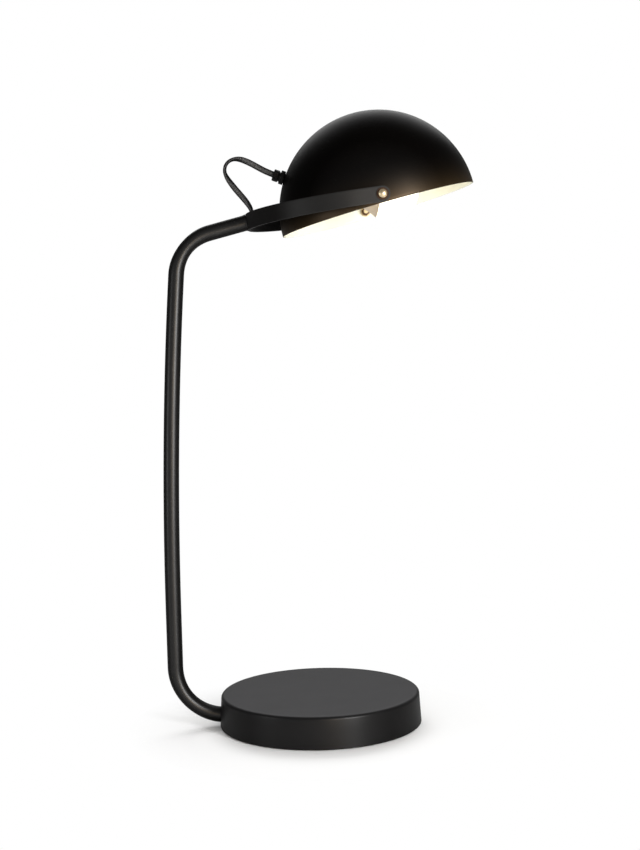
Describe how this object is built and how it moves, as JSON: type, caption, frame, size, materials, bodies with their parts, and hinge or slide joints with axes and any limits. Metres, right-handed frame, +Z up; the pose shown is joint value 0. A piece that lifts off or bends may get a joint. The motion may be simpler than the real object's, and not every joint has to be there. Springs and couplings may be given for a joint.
{
  "type": "desk lamp",
  "caption": "Desk lamp with a weighted round base, a bent tube stem, a U-shaped yoke and a tilting black hemispherical shade with a lit globe bulb.",
  "frame": {"origin": "centre of the round base, on the surface that the lamp stands on", "axes": "+Z up; +X from the stem towards the front of the shade; Y along the shade's pivots"},
  "size_m": [0.3248, 0.2242, 0.6249],
  "materials": {
    "black_enamel": "satin",
    "shade_enamel": "matt",
    "iron": "as cast",
    "zinc_steel": "zinc plated",
    "felt": "felt",
    "black_nylon": "satin",
    "phenolic": "semi gloss",
    "blackened_steel": "blackened",
    "brass": "satin",
    "ivory_plastic": "semi gloss",
    "cap_metal": "satin",
    "bulb_beige": "satin",
    "circuit_green": "matt",
    "board_white": "gloss",
    "opal_globe": "frosted",
    "textile_flex": "braided"
  },
  "bodies": {
    "stand": {"base_housing": "black_enamel", "housing_posts": "zinc_steel", "base_weight": "iron", "bottom_plate": "zinc_steel", "base_screws": "zinc_steel", "foot_pad": "felt", "inlet_gland": "black_nylon", "gland_nut": "black_nylon", "stem_tube": "black_enamel", "stem_saddle": "zinc_steel", "saddle_screws": "zinc_steel", "tube_end_bush": "black_nylon", "flex_anchor": "ivory_plastic", "anchor_screws": "zinc_steel", "stem_lead": "textile_flex", "yoke_strip": "black_enamel", "yoke_bush": "black_nylon"},
    "shade": {"pivot_screws": "brass", "pivot_washers": "blackened_steel", "friction_bushes": "black_nylon", "inner_washers": "brass", "inner_nuts": "brass", "shade_dome": "shade_enamel", "grip_collar": "black_nylon", "grip_body": "black_nylon", "grip_clamp_screw": "blackened_steel", "grip_inner_nut": "black_nylon", "holder_bracket": "zinc_steel", "nipple_nut": "zinc_steel", "holder_nipple": "zinc_steel", "holder_cap": "phenolic", "holder_insert": "ivory_plastic", "holder_terminals": "brass", "holder_screw_shell": "brass", "holder_contact": "brass", "holder_skirt": "phenolic", "shade_lead": "textile_flex", "bulb_screw_cap": "cap_metal", "bulb_insulator": "phenolic", "bulb_contact": "brass", "bulb_housing": "bulb_beige", "bulb_driver": "circuit_green", "bulb_heat_plate": "cap_metal", "bulb_led_board": "board_white", "bulb_globe": "opal_globe", "flex_loop": "textile_flex"}
  },
  "joints": [
    {"name": "shade_tilt", "type": "hinge", "parent": "stand", "child": "shade", "pos_m": [0.06681, 0, 0.5317], "axis": [0, 1, 0], "range_deg": [-15, 30], "deforming": ["flex_loop"]}
  ]
}
